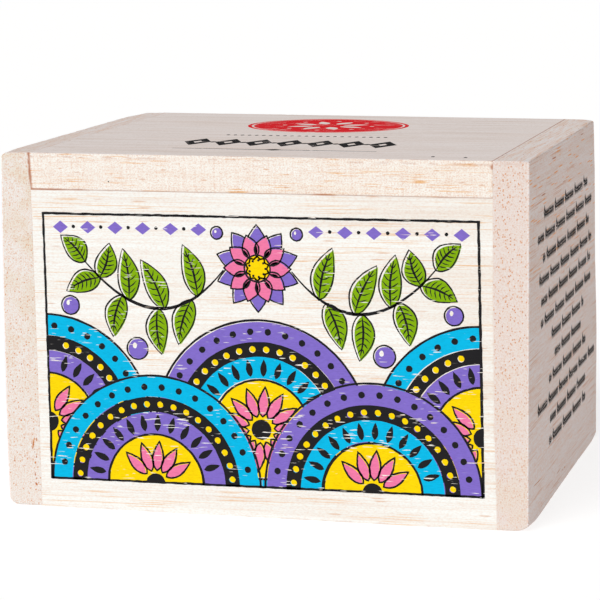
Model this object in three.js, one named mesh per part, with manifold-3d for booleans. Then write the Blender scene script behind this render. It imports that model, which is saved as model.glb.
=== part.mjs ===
// A small wooden tea box, in millimetres, with +Z up and the front towards -Y.
//
// Two end boards stand at the full height and depth. Between them are glued a front board, a back
// board and a bottom board, and a lid fills the top. The lid swings on two pegs that are hidden in
// blind holes in the end boards, so its front edge rises and its back edge turns down behind the box.
// The origin is at the middle of the footprint, on the surface that the box stands on.

import * as THREE from "three";
import { mergeVertices } from "three/addons/utils/BufferGeometryUtils.js";
import Module from "manifold-3d";

const wasm = await Module();
wasm.setup();

// Driving dimensions of the box.
const WIDTH = 100;
const DEPTH = 81.7;
const HEIGHT = 67.6;
const STOCK = 6.35;
const LID_THICKNESS = 6.5;

// Gaps that let the lid swing.
const LID_SIDE_GAP = 0.3;
const LID_FRONT_SEAM = 0.3;
const LID_BACK_SEAM = 0.5;

// Sanded edges of the end boards, and the number of facets that round each of them.
const BOTTOM_EDGE_RADIUS = 1.6;
const LEFT_TOP_EDGE_RADIUS = 1.1;
const RIGHT_TOP_EDGE_RADIUS = 0.5;
const EDGE_FACETS = 5;

// The two hinge pegs and their blind holes.
const PEG_RADIUS = 1;
const PEG_CHAMFER = 0.3;
const PEG_IN_LID = 6.5;
const PEG_IN_END_BOARD = 3.5;
const HOLE_EXTRA_DEPTH = 0.5;
const SNUG_CLEARANCE = 0.06;
const RUNNING_CLEARANCE = 0.1;
const PEG_SIDES = 24;
const LID_HEEL_FACETS = 10;

// Places that follow from the dimensions.
const INNER_HALF_WIDTH = WIDTH / 2 - STOCK;
const INNER_HALF_DEPTH = DEPTH / 2 - STOCK;
const LID_UNDERSIDE = HEIGHT - LID_THICKNESS;
const LID_HALF_LENGTH = INNER_HALF_WIDTH - LID_SIDE_GAP;
const HEEL_RADIUS = LID_THICKNESS / 2;
const PIVOT_Y = DEPTH / 2 - HEEL_RADIUS;
const PIVOT_Z = LID_UNDERSIDE + HEEL_RADIUS;

const X_AXIS = new THREE.Vector3(1, 0, 0);
const Y_AXIS = new THREE.Vector3(0, 1, 0);
const Z_AXIS = new THREE.Vector3(0, 0, 1);

const endGrainWood = { color: 0xebdccd, roughness: 0.82, metalness: 0 };
const paleWood = { color: 0xf6ead8, roughness: 0.8, metalness: 0 };
const lidWood = { color: 0xf2e2cc, roughness: 0.84, metalness: 0 };
const bambooPeg = { color: 0xd9bd83, roughness: 0.6, metalness: 0 };

const box = new THREE.Group();

function addPiece(name, geometry, finish) {
  const piece = new THREE.Mesh(geometry, new THREE.MeshStandardMaterial(finish));
  piece.name = name;
  box.add(piece);
}

// Turns a geometry so that its x, y and z run along the three given axes.
function turn(geometry, xTo, yTo, zTo) {
  return geometry.applyMatrix4(new THREE.Matrix4().makeBasis(xTo, yTo, zTo));
}

function toSolid(geometry) {
  const bare = geometry.clone();
  bare.deleteAttribute("normal");
  bare.deleteAttribute("uv");
  const merged = mergeVertices(bare);
  return new wasm.Manifold(new wasm.Mesh({
    numProp: 3,
    vertProperties: Float32Array.from(merged.attributes.position.array),
    triVerts: Uint32Array.from(merged.index.array),
  }));
}

function toGeometry(solid) {
  const mesh = solid.getMesh();
  const geometry = new THREE.BufferGeometry();
  geometry.setAttribute("position", new THREE.BufferAttribute(mesh.vertProperties, 3));
  geometry.setIndex(new THREE.BufferAttribute(mesh.triVerts, 1));
  return geometry;
}

// A round rod along X from one x to another, centred on the hinge line.
function rodOnHinge(radius, fromX, toX) {
  const rod = new THREE.CylinderGeometry(radius, radius, toX - fromX, PEG_SIDES);
  turn(rod, Y_AXIS, X_AXIS, Z_AXIS.clone().negate());
  return rod.translate((fromX + toX) / 2, PIVOT_Y, PIVOT_Z);
}

// An upright board at the full height and depth. side is -1 for the left one and 1 for the right one.
// Its section is drawn for the right one, and mirrored in x for the left one.
function endBoardSection(side, topRadius) {
  const inner = INNER_HALF_WIDTH;
  const outer = WIDTH / 2;
  const low = BOTTOM_EDGE_RADIUS;
  const points = [[inner, 0]];
  for (let i = 0; i <= EDGE_FACETS; i += 1) {
    const angle = (i / EDGE_FACETS) * (Math.PI / 2);
    points.push([outer - low + low * Math.sin(angle), low - low * Math.cos(angle)]);
  }
  for (let i = 0; i <= EDGE_FACETS; i += 1) {
    const angle = (i / EDGE_FACETS) * (Math.PI / 2);
    points.push([
      outer - topRadius + topRadius * Math.cos(angle),
      HEIGHT - topRadius + topRadius * Math.sin(angle),
    ]);
  }
  points.push([inner, HEIGHT]);
  return new THREE.Shape(points.map(([x, z]) => new THREE.Vector2(side * x, z)));
}

function endBoard(side, topRadius) {
  const section = endBoardSection(side, topRadius);
  const board = new THREE.ExtrudeGeometry(section, { depth: DEPTH, bevelEnabled: false });
  turn(board, X_AXIS, Z_AXIS, Y_AXIS.clone().negate());
  board.translate(0, DEPTH / 2, 0);
  const mouth = side * (INNER_HALF_WIDTH - 1);
  const bottom = side * (INNER_HALF_WIDTH + PEG_IN_END_BOARD + HOLE_EXTRA_DEPTH);
  const hole = rodOnHinge(
    PEG_RADIUS + RUNNING_CLEARANCE,
    Math.min(mouth, bottom),
    Math.max(mouth, bottom),
  );
  return toGeometry(toSolid(board).subtract(toSolid(hole)));
}

// The front or back board, between the end boards. side is -1 for the front and 1 for the back.
function wallBoard(side, height) {
  const board = new THREE.BoxGeometry(2 * INNER_HALF_WIDTH, STOCK, height);
  return board.translate(0, side * (DEPTH / 2 - STOCK / 2), height / 2);
}

function bottomBoard() {
  const board = new THREE.BoxGeometry(2 * INNER_HALF_WIDTH, 2 * INNER_HALF_DEPTH, STOCK);
  return board.translate(0, 0, STOCK / 2);
}

// The lid's section, seen from its right end: square at the top and the front, with its lower back
// edge rounded about the hinge line, which lets it turn down behind the box.
function lidSection() {
  const section = new THREE.Shape();
  section.moveTo(-DEPTH / 2, LID_UNDERSIDE);
  section.lineTo(PIVOT_Y, LID_UNDERSIDE);
  section.absarc(PIVOT_Y, PIVOT_Z, HEEL_RADIUS, -Math.PI / 2, 0, false);
  section.lineTo(DEPTH / 2, HEIGHT);
  section.lineTo(-DEPTH / 2, HEIGHT);
  return section;
}

function lid() {
  const options = { depth: 2 * LID_HALF_LENGTH, bevelEnabled: false, curveSegments: LID_HEEL_FACETS };
  const board = new THREE.ExtrudeGeometry(lidSection(), options);
  turn(board, Y_AXIS, Z_AXIS, X_AXIS);
  board.translate(-LID_HALF_LENGTH, 0, 0);
  const mouth = LID_HALF_LENGTH + 1;
  const bottom = LID_HALF_LENGTH - PEG_IN_LID - HOLE_EXTRA_DEPTH;
  const leftHole = toSolid(rodOnHinge(PEG_RADIUS + SNUG_CLEARANCE, -mouth, -bottom));
  const rightHole = toSolid(rodOnHinge(PEG_RADIUS + SNUG_CLEARANCE, bottom, mouth));
  return toGeometry(toSolid(board).subtract(leftHole).subtract(rightHole));
}

// A peg with chamfered ends, turned as a lathe profile. side is -1 for the left and 1 for the right.
function hingePeg(side) {
  const inLid = LID_HALF_LENGTH - PEG_IN_LID;
  const length = INNER_HALF_WIDTH + PEG_IN_END_BOARD - inLid;
  const neck = PEG_RADIUS - PEG_CHAMFER;
  const profile = [
    new THREE.Vector2(0, 0),
    new THREE.Vector2(neck, 0),
    new THREE.Vector2(PEG_RADIUS, PEG_CHAMFER),
    new THREE.Vector2(PEG_RADIUS, length - PEG_CHAMFER),
    new THREE.Vector2(neck, length),
    new THREE.Vector2(0, length),
  ];
  const peg = new THREE.LatheGeometry(profile, PEG_SIDES);
  peg.translate(0, -length / 2, 0);
  turn(peg, Y_AXIS, X_AXIS, Z_AXIS.clone().negate());
  return peg.translate(side * (inLid + length / 2), PIVOT_Y, PIVOT_Z);
}

addPiece("end_board_left", endBoard(-1, LEFT_TOP_EDGE_RADIUS), endGrainWood);
addPiece("end_board_right", endBoard(1, RIGHT_TOP_EDGE_RADIUS), endGrainWood);
addPiece("front_board", wallBoard(-1, LID_UNDERSIDE - LID_FRONT_SEAM), paleWood);
addPiece("back_board", wallBoard(1, LID_UNDERSIDE - LID_BACK_SEAM), paleWood);
addPiece("bottom_board", bottomBoard(), paleWood);
addPiece("lid", lid(), lidWood);
addPiece("hinge_pin_left", hingePeg(-1), bambooPeg);
addPiece("hinge_pin_right", hingePeg(1), bambooPeg);

export default box;
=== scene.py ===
"""Dresses a small wooden tea box: boards of pale plantation wood with sanded corners, a pegged lid,
and a folk print of fans, leaves and flowers. It is laid out as a Blender add-on and run as a script."""

import math
import random

import bmesh
import bpy
from bpy.props import FloatProperty, FloatVectorProperty, PointerProperty
from mathutils import Matrix, Vector, noise


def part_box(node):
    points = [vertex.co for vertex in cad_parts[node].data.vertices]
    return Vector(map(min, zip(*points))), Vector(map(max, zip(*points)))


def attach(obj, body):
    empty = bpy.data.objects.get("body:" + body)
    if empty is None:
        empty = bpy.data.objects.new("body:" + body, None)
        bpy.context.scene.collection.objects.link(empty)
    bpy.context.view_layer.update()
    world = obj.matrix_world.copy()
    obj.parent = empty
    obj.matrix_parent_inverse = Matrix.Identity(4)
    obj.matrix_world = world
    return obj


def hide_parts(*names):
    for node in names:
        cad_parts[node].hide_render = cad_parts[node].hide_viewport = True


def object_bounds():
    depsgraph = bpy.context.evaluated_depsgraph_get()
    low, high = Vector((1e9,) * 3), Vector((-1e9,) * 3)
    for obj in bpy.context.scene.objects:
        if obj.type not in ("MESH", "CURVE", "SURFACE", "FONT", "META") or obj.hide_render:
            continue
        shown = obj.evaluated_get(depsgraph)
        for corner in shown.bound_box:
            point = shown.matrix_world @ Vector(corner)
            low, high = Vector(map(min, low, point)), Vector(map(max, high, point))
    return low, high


bl_info = {
    "name": "Wooden tea box",
    "version": (1, 0, 0),
    "blender": (4, 5, 0),
    "location": "View3D > Sidebar > Tea Box",
    "description": "Builds a printed tea box of pale wood around its fixed frame",
    "category": "Add Mesh",
}

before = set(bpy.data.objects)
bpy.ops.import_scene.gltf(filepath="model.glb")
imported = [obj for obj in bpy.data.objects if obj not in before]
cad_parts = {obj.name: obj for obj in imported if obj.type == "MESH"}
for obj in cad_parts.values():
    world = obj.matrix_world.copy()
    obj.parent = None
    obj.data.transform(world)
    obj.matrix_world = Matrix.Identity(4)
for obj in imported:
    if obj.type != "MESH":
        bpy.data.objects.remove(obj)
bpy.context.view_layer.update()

MM = 0.001
X, Y, Z = 0, 1, 2
FULL_TURN = 2 * math.pi

BOX_LOW, BOX_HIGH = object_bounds()
FRONT = BOX_LOW.y
BACK = BOX_HIGH.y
TOP = BOX_HIGH.z
RIGHT = BOX_HIGH.x


def linear(hex_colour):
    """The linear red, green, blue and alpha of an sRGB hex colour."""
    channels = [int(hex_colour[i : i + 2], 16) / 255 for i in (1, 3, 5)]
    bent = [c / 12.92 if c <= 0.04045 else ((c + 0.055) / 1.055) ** 2.4 for c in channels]
    return (*bent, 1.0)


def colour(name, default, description):
    """A colour property with an sRGB hex default."""
    return FloatVectorProperty(
        name=name,
        description=description,
        subtype="COLOR",
        size=4,
        min=0,
        max=1,
        default=linear(default),
    )


def length(name, millimetres, description):
    """A length property with its default in millimetres."""
    return FloatProperty(
        name=name,
        description=description,
        unit="LENGTH",
        min=0,
        precision=5,
        default=millimetres * MM,
    )


# ---------------------------------------------------------------------------------------------
# Settings


class TeaBoxBoards(bpy.types.PropertyGroup):
    """Sizes of the boards' edges."""

    edge: length("Edge", 0.2, "How far the sandpaper took each sharp edge")
    end_edge: length("End board edge", 0.28, "The same on the end boards")
    lid_edge: length("Lid edge", 0.16, "How far the lid's sawn edges are broken")
    chip: length("Chips", 0.16, "How deep the torn fibres along an edge are")
    lid_chip: length("Lid chips", 0.08, "How deep the torn fibres along the lid's edges are")
    lid_swell_left: length("Lid swell, left", 0.285, "How far the damp lid has grown to the left")
    lid_swell_right: length("Lid swell, right", 0.285, "How far it has grown to the right")
    lid_swell_down: length("Lid swell, down", 0.27, "How far it has grown towards the front board")
    peg_edge: length("Peg edge", 0.12, "The rounding at the ends of the hinge pegs")


class TeaBoxWoods(bpy.types.PropertyGroup):
    """Colours of the wood."""

    wall: colour("Wall", "#EEEBE5", "Planed face of the front board")
    wall_warm: colour("Wall, warm", "#E2D5C8", "Warmer bands in the front board")
    back: colour("Back", "#ECE2DC", "Planed face of the back and bottom boards")
    back_warm: colour("Back, warm", "#E0D0C4", "Warmer bands in them")
    lid_top: colour("Lid top", "#F5EAE5", "Sanded top of the lid")
    lid_top_warm: colour("Lid top, warm", "#EFDFD7", "Warmer bands in the lid's top")
    lid_edge: colour("Lid edge", "#ECE2D8", "Sawn front edge of the lid")
    lid_edge_warm: colour("Lid edge, warm", "#E6D1BD", "Warmer bands in the lid's edge")
    side: colour("Side", "#E6D6D0", "Planed outer face of an end board")
    side_warm: colour("Side, warm", "#DCC7BC", "Warmer bands in an end board's face")
    # The end board top colour also paints a highlight on the upright edges of the end boards.
    end_top_and_edge_highlight: colour("End board top", "#F2E4DE", "Sanded top of an end board")
    end_top_warm: colour("End board top, warm", "#ECD9CB", "Warmer bands in that top")
    end_left: colour("Left end grain", "#E4D9D1", "End grain of the left board")
    end_left_warm: colour("Left end grain, warm", "#DCCAB4", "Warmer rays of the left board")
    end_right: colour("Right end grain", "#DFD0C8", "End grain of the right board")
    end_right_warm: colour("Right end grain, warm", "#DDCAB3", "Warmer rays of the right board")
    streak: colour("Streaks", "#E0A04E", "Long gum streaks in the walls")
    streak_rosy: colour("Rosy streaks", "#CE8C60", "Long gum streaks in the end boards")
    pore: colour("Pores", "#CE8E58", "Open vessels, seen along their length")
    pore_end: colour("Cut pores", "#CF8A50", "Vessels cut across, in the end grain")
    pore_orange: colour("Orange pores", "#EBA05C", "Vessels filled with orange gum")
    pore_dark: colour("Dark pores", "#B0622C", "The few darkest vessels")
    # The torn colour also paints the line of shade along the lid's right end on top.
    torn: colour("Torn fibres", "#B0622E", "Brown fibres where an edge has torn")
    bamboo: colour("Bamboo", "#CDAE74", "Bare bamboo of the hinge pegs")


class TeaBoxInks(bpy.types.PropertyGroup):
    """Colours of the screen print."""

    black: colour("Black", "#1F1E20", "Ink of the outlines")
    violet: colour("Violet", "#7D68C0", "Ink of the fans and berries")
    blue: colour("Blue", "#00B1DD", "Ink of the fans")
    yellow: colour("Yellow", "#F3CF00", "Ink of the suns")
    pink: colour("Pink", "#E776A0", "Ink of the petals")
    green: colour("Green", "#7EA807", "Ink of the leaves")
    red: colour("Red", "#EB1D28", "Ink of the lid's oval")
    side_black: colour("Side black", "#1A1719", "Ink of the side's ornament")


class TeaBoxStage(bpy.types.PropertyGroup):
    """The floor and the light round the box."""

    floor: colour("Floor", "#9E9D9C", "Paper of the floor, before its own glow is added")
    sky: FloatProperty(name="Sky", description="Strength of the light all round", default=0.3, min=0)
    floor_glow: FloatProperty(
        name="Floor glow", description="Light that the floor gives by itself", default=0.745, min=0
    )
    key: FloatProperty(
        name="Key", description="Strength of the soft lamp at the front left", default=2.1, min=0
    )
    key_spread: FloatProperty(
        name="Key spread",
        description="How wide the soft lamp looks from the box",
        subtype="ANGLE",
        default=math.radians(40),
        min=0,
    )


class TeaBoxSettings(bpy.types.PropertyGroup):
    """Everything that a user would change."""

    boards: PointerProperty(type=TeaBoxBoards)
    woods: PointerProperty(type=TeaBoxWoods)
    inks: PointerProperty(type=TeaBoxInks)
    stage: PointerProperty(type=TeaBoxStage)


# ---------------------------------------------------------------------------------------------
# Materials


def add(tree, kind, inputs, **settings):
    """Adds a shader node with its settings. An input is a value, or an output to link."""
    node = tree.nodes.new("ShaderNode" + kind)
    for key, value in settings.items():
        setattr(node, key, value)
    for socket, value in inputs.items():
        if isinstance(value, bpy.types.NodeSocket):
            tree.links.new(value, node.inputs[socket])
        else:
            node.inputs[socket].default_value = value
    return node


def new_tree(name):
    """An empty material of that name, and its node tree."""
    material = bpy.data.materials.new(name)
    material.use_nodes = True
    material.node_tree.nodes.clear()
    return material, material.node_tree


def mixed(tree, amount, low, high, blend="MIX"):
    """The colour that goes from low to high with amount."""
    made = add(tree, "Mix", {0: amount, 6: low, 7: high}, data_type="RGBA", blend_type=blend)
    return made.outputs[2]


def step(tree, value, low, high, to_low=0.0, to_high=1.0):
    """A value that rises smoothly from to_low to to_high while the input goes from low to high."""
    inputs = {"Value": value, "From Min": low, "From Max": high, "To Min": to_low, "To Max": to_high}
    return add(tree, "MapRange", inputs, interpolation_type="SMOOTHSTEP").outputs[0]


def times(tree, first, second):
    """The product of two values."""
    return add(tree, "Math", {0: first, 1: second}, operation="MULTIPLY").outputs[0]


# Each finish says how its grain runs and how large its marks are, all in millimetres, along the
# grain and across it: bands, the broad warmer stripes; lines, the faint ones of each year's wood;
# streaks, the thin lines of orange gum, which come in clusters; pores, the open vessels; fuzz, the
# raised fibres. A share is the part of the places that hold a mark, and a strength is how far it
# colours the wood. Over the spread, the marks go from faint to full. pore_rise gives the two heights
# between which the vessels come to full strength, and warm_rise an axis and the two places on it
# between which the warmer bands do.
WALL = {
    "grain": X,
    "tilt": 0.6,
    "hue": (0.3, 0.75, 1.0),
    "bands": (70, 5),
    "band_strength": 0.55,
    "warm_rise": (X, -45, 45),
    "lines": (30, 0.4),
    "line_strength": 0.07,
    "streaks": (15, 0.24),
    "clusters": (30, 4.5),
    "streak_from": 0.58,
    "streak_soft": 0.05,
    "streak_strength": 0.6,
    "pore_gap": (9, 0.9),
    "pore_radius": 0.15,
    "pore_share": 0.3,
    "pore_spread": 0.05,
    "pore_strength": 0.5,
    "pore_rise": (0, 1),
    "fuzz": (0.5, 0.22),
    "fuzz_strength": 0.08,
    "saw": 0.0,
    "saw_gap": (0.45, 9),
}
LID_TOP = dict(
    WALL,
    tilt=-0.4,
    hue=(0.6, 0.8, 1.0),
    warm_rise=(Z, 0, 1),
    bands=(60, 3.5),
    band_strength=0.3,
    lines=(26, 0.4),
    line_strength=0.13,
    streaks=(22, 0.4),
    streak_strength=0.16,
    pore_gap=(12, 1.3),
    pore_share=0.2,
    pore_strength=0.3,
    fuzz_strength=0.1,
)
LID_EDGE = dict(
    WALL,
    bands=(25, 2.5),
    band_strength=0.4,
    lines=(9, 0.32),
    line_strength=0.06,
    streaks=(8, 0.26),
    clusters=(14, 1.5),
    streak_strength=0.75,
    pore_gap=(4, 0.7),
    pore_radius=0.16,
    pore_strength=0.6,
    fuzz=(0.3, 0.24),
    fuzz_strength=0.2,
    saw=0.045,
)
SIDE = dict(
    WALL,
    grain=Y,
    tilt=1.0,
    hue=(0.16, 0.67, 1.0),
    bands=(50, 6),
    band_strength=0.45,
    warm_rise=(Z, 0, 35),
    lines=(18, 0.4),
    streaks=(22, 0.22),
    pore_gap=(12, 0.64),
    pore_radius=0.21,
    pore_share=0.95,
    pore_spread=0.3,
    pore_strength=0.95,
    pore_rise=(25, 64),
    fuzz=(0.9, 0.24),
    fuzz_strength=0.13,
    clusters=(20, 3),
)
END_TOP = dict(
    SIDE,
    tilt=0.0,
    bands=(40, 1.6),
    band_strength=0.4,
    warm_rise=(Z, 0, 1),
    lines=(10, 0.35),
    line_strength=0.2,
    streaks=(7, 0.3),
    streak_strength=0.2,
    pore_gap=(4, 0.6),
    pore_radius=0.17,
    pore_strength=0.7,
    pore_rise=(0, 1),
    fuzz_strength=0.08,
)
END_LEFT = dict(
    SIDE,
    bands=(30, 5),
    band_strength=0.68,
    warm_rise=(Z, 0, 55),
    line_strength=0.0,
    streak_strength=0.0,
    pore_gap=(20, 0.5, 0.6),
    pore_radius=0.25,
    pore_share=0.8,
    pore_spread=0.5,
    pore_strength=0.9,
    pore_rise=(82, 36),
    fuzz=(0.3, 0.24),
    fuzz_strength=0.24,
)
END_RIGHT = dict(
    END_LEFT,
    band_strength=0.35,
    warm_rise=(Z, 50, 0),
    pore_gap=(20, 0.44, 0.56),
    pore_radius=0.29,
    pore_share=0.95,
    pore_spread=0.4,
    pore_strength=0.85,
    pore_rise=(-12, 40),
    fuzz_strength=0.17,
)
# Where each kind of mark starts in the noise, so that no two kinds fall on the same places.
SEEDS = {
    "bands": 3.1,
    "lines": 17.3,
    "streaks": 7.7,
    "clusters": 12.9,
    "pore_gap": 21.3,
    "fuzz": 31.4,
    "saw_gap": 52.8,
    "ink_gaps": 63.1,
    "ink_gap_clusters": 71.9,
    "ink_mottle": 83.3,
    "gum_patches": 9.1,
    "bamboo_fibres": 5.5,
}
# The two values of the noise between which a mark goes from nothing to its full strength.
TOAST_EDGE = (0.27, 0.6)
BAND_EDGE = (0.36, 0.66)
CLUSTER_EDGE = (0.42, 0.6)
DARK_PORE_EDGE = (0.9, 0.98)
# The same for a pore, in shares of its radius.
PORE_EDGE = (1.3, 0.6)
# What is left of a mark where it is weakest: outside its clusters, or at the far end of its rise.
FEWEST_STREAKS, LEAST_WARMTH, WEAKEST_PORES = 0.15, 0.15, 0.25
# How far the two ends of a toasted colour's noise change it, at a strength of 1.
TOAST, BLEACH = 1.6, 0.6
# How deep a pore is, against the height of the raised fibres.
PIT = 0.2
# The two values of the torn attribute between which fibres turn brown, and how brown they turn. The
# attribute also carries the painted shade along the lid's right end.
TORN_EDGE, TORN_STRENGTH = (0.1, 0.9), 0.8


def grain_coordinates(tree, finish):
    """Coordinates of the board, turned a little, as a sawn board's grain is never quite straight."""
    place = add(tree, "TexCoord", {}).outputs["Object"]
    tilt = math.radians(finish["tilt"])
    turn = (0, tilt, 0) if finish["grain"] == X else (tilt, 0, 0)
    return add(tree, "Mapping", {"Vector": place, "Rotation": turn}).outputs[0]


def stretched(tree, place, grain, size, seed):
    """Coordinates in which a mark of that length along the grain, and that width, is one unit. A
    third size says how high the mark is where that differs from its width."""
    scale = [1 / (size[1] * MM)] * 3
    scale[Z] = 1 / (size[-1] * MM)
    scale[grain] = 1 / (size[0] * MM)
    inputs = {"Vector": place, "Scale": scale, "Location": (seed, seed * 1.7, seed * 2.3)}
    return add(tree, "Mapping", inputs).outputs[0]


def stretched_noise(tree, place, grain, size, seed, detail=2.0):
    """Noise whose spots have that length along the grain and that width across it, in millimetres."""
    vector = stretched(tree, place, grain, size, seed)
    inputs = {"Vector": vector, "Scale": 1.0, "Detail": detail, "Roughness": 0.55}
    return add(tree, "TexNoise", inputs).outputs[0]


def toasted(tree, body, value, strength, hue):
    """A colour with noise in it: browner where the noise is low, paler elsewhere. hue says how much
    of the change goes to red, green and blue."""
    browner = (*(1 - TOAST * strength * part for part in hue), 1)
    paler = (*(1 + BLEACH * strength * part for part in hue), 1)
    tint = mixed(tree, step(tree, value, *TOAST_EDGE), browner, paler)
    return mixed(tree, 1.0, body, tint, "MULTIPLY")


def wood_grain(tree, finish, pale, warm, streak_colour, pore_colour, dark_colour):
    """Wood of a finish. Returns its colour, and the height of its surface in millimetres."""
    grain = finish["grain"]
    place = grain_coordinates(tree, finish)
    where = add(tree, "SeparateXYZ", {0: place}).outputs

    def marks(kind, detail=2.0):
        """The noise that one kind of mark follows."""
        return stretched_noise(tree, place, grain, finish[kind], SEEDS[kind], detail)

    axis, low, high = finish["warm_rise"]
    risen = step(tree, where[axis], low * MM, high * MM, LEAST_WARMTH)
    band = step(tree, marks("bands"), *BAND_EDGE, 0.0, finish["band_strength"])
    body = mixed(tree, times(tree, band, risen), pale, warm)
    body = toasted(tree, body, marks("lines", 3.0), finish["line_strength"], finish["hue"])

    low = finish["streak_from"]
    line = step(tree, marks("streaks"), low, low + finish["streak_soft"])
    line = times(tree, line, step(tree, marks("clusters"), *CLUSTER_EDGE, FEWEST_STREAKS))
    body = mixed(tree, times(tree, line, finish["streak_strength"]), body, streak_colour)

    cells = stretched(tree, place, grain, finish["pore_gap"], SEEDS["pore_gap"])
    pores = add(tree, "TexVoronoi", {"Vector": cells, "Scale": 1.0, "Randomness": 1.0})
    edge = [share * finish["pore_radius"] for share in PORE_EDGE]
    inside = step(tree, pores.outputs["Distance"], *edge)
    draw = add(tree, "SeparateColor", {0: pores.outputs["Color"]})
    rarest = 1 - finish["pore_share"]
    chosen = step(tree, draw.outputs[0], rarest, rarest + finish["pore_spread"])
    low, high = finish["pore_rise"]
    risen = step(tree, where[Z], low * MM, high * MM, WEAKEST_PORES)
    pore = times(tree, times(tree, inside, chosen), risen)
    tone = mixed(tree, step(tree, draw.outputs[1], *DARK_PORE_EDGE), pore_colour, dark_colour)
    body = mixed(tree, times(tree, pore, finish["pore_strength"]), body, tone)

    fibre = marks("fuzz", 3.0)
    body = toasted(tree, body, fibre, finish["fuzz_strength"], finish["hue"])
    if finish["saw"]:
        body = toasted(tree, body, marks("saw_gap"), finish["saw"], finish["hue"])

    height = add(tree, "Math", {0: fibre, 1: times(tree, pore, PIT)}, operation="SUBTRACT")
    return body, height.outputs[0]


def with_torn_fibres_and_painted_shade(tree, body, colour_of_fibres):
    """Brown along an edge, where the board's own attribute says so: torn fibres, brown seams, and on the
    lid's top a line of painted shade along its right end.
    """
    torn = add(tree, "Attribute", {}, attribute_name="torn").outputs["Fac"]
    return mixed(tree, step(tree, torn, *TORN_EDGE, 0.0, TORN_STRENGTH), body, colour_of_fibres)


def finish_surface(tree, body, height, roughness, specular, depth):
    """The shader of a surface with that colour and relief. depth is the relief in millimetres."""
    bump = add(tree, "Bump", {"Height": height, "Strength": 0.6, "Distance": depth * MM})
    surface = add(
        tree,
        "BsdfPrincipled",
        {
            "Base Color": body,
            "Roughness": roughness,
            "Specular IOR Level": specular,
            "Normal": bump.outputs[0],
        },
    )
    add(tree, "OutputMaterial", {"Surface": surface.outputs[0]})


def wood_material(name, finish, pale, warm, pore_colour, streak_colour=None):
    """Bare plantation wood of the balsa kind: matt, pale and soft, with open vessels."""
    woods = bpy.context.scene.tea_box.woods
    material, tree = new_tree(name)
    colours = (pale, warm, streak_colour or woods.streak, pore_colour, woods.pore_dark)
    body, height = wood_grain(tree, finish, *colours)
    body = with_torn_fibres_and_painted_shade(tree, body, woods.torn)
    finish_surface(tree, body, height, roughness=0.86, specular=0.25, depth=0.06)
    return material


def wall_wood():
    """Planed wall board: nearly white, with long thin streaks of orange gum."""
    woods = bpy.context.scene.tea_box.woods
    return wood_material("planed_wall_wood", WALL, woods.wall, woods.wall_warm, woods.pore)


def back_wood():
    """The same wood with a rosier heart, as the back and the bottom have it."""
    woods = bpy.context.scene.tea_box.woods
    return wood_material("planed_back_wood", WALL, woods.back, woods.back_warm, woods.pore)


def lid_top_wood():
    """Sanded lid: smoother and a little greyer than the walls, with faint lines."""
    woods = bpy.context.scene.tea_box.woods
    return wood_material("sanded_lid_wood", LID_TOP, woods.lid_top, woods.lid_top_warm, woods.pore)


def lid_edge_wood():
    """Sawn edge of the lid: fuzzy, with short brown streaks and faint upright saw marks."""
    woods = bpy.context.scene.tea_box.woods
    return wood_material("sawn_lid_edge", LID_EDGE, woods.lid_edge, woods.lid_edge_warm, woods.pore)


def side_wood():
    """Planed face of an end board: orange flecks that run from front to back."""
    woods = bpy.context.scene.tea_box.woods
    colours = (woods.side, woods.side_warm, woods.pore_orange, woods.streak_rosy)
    return wood_material("planed_end_board", SIDE, *colours)


def end_top_and_edge_highlight():
    """Sanded top edge of an end board, level with the lid and as pale. The same pale wood is laid on the
    upright edges as a painted highlight.
    """
    woods = bpy.context.scene.tea_box.woods
    return wood_material("sanded_top_and_edge_highlight", END_TOP, woods.end_top_and_edge_highlight, woods.end_top_warm, woods.pore)


def end_grain(side):
    """Sawn end grain: vessels cut across, which show as dots, finer on the left board."""
    woods = bpy.context.scene.tea_box.woods
    if side < 0:
        colours = (woods.end_left, woods.end_left_warm, woods.pore_end)
        return wood_material("end_grain_left", END_LEFT, *colours)
    colours = (woods.end_right, woods.end_right_warm, woods.pore_end)
    return wood_material("end_grain_right", END_RIGHT, *colours)


def dried_gum():
    """Gum that has dried in an open vessel: orange-brown, uneven, a little glossy."""
    woods = bpy.context.scene.tea_box.woods
    material, tree = new_tree("dried_gum")
    place = add(tree, "TexCoord", {}).outputs["Object"]
    patches = stretched_noise(tree, place, X, (0.5, 0.4), SEEDS["gum_patches"])
    body = mixed(tree, step(tree, patches, 0.35, 0.65), woods.pore_dark, woods.pore)
    finish_surface(tree, body, patches, roughness=0.5, specular=0.4, depth=0.02)
    return material


def bamboo():
    """Split bamboo peg: straw-coloured, slightly glossy, with fine fibres along its length."""
    woods = bpy.context.scene.tea_box.woods
    material, tree = new_tree("split_bamboo")
    place = add(tree, "TexCoord", {}).outputs["Object"]
    fibre = stretched_noise(tree, place, X, (6, 0.14), SEEDS["bamboo_fibres"])
    dark = mixed(tree, 0.35, woods.bamboo, woods.pore_dark)
    body = mixed(tree, step(tree, fibre, 0.35, 0.7), woods.bamboo, dark)
    finish_surface(tree, body, fibre, roughness=0.55, specular=0.4, depth=0.03)
    return material


# Length and width, in millimetres, of the gaps in the ink, of their clusters, and of its mottling.
INK_GAP = (3.2, 0.27)
INK_GAP_CLUSTER = (9, 3.4)
INK_MOTTLE = (0.9, 0.24)
# The two values of the noise between which a gap opens, and between which a cluster of them does.
INK_GAP_EDGE, INK_CLUSTER_EDGE = (0.65, 0.67), (0.5, 0.56)


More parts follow.
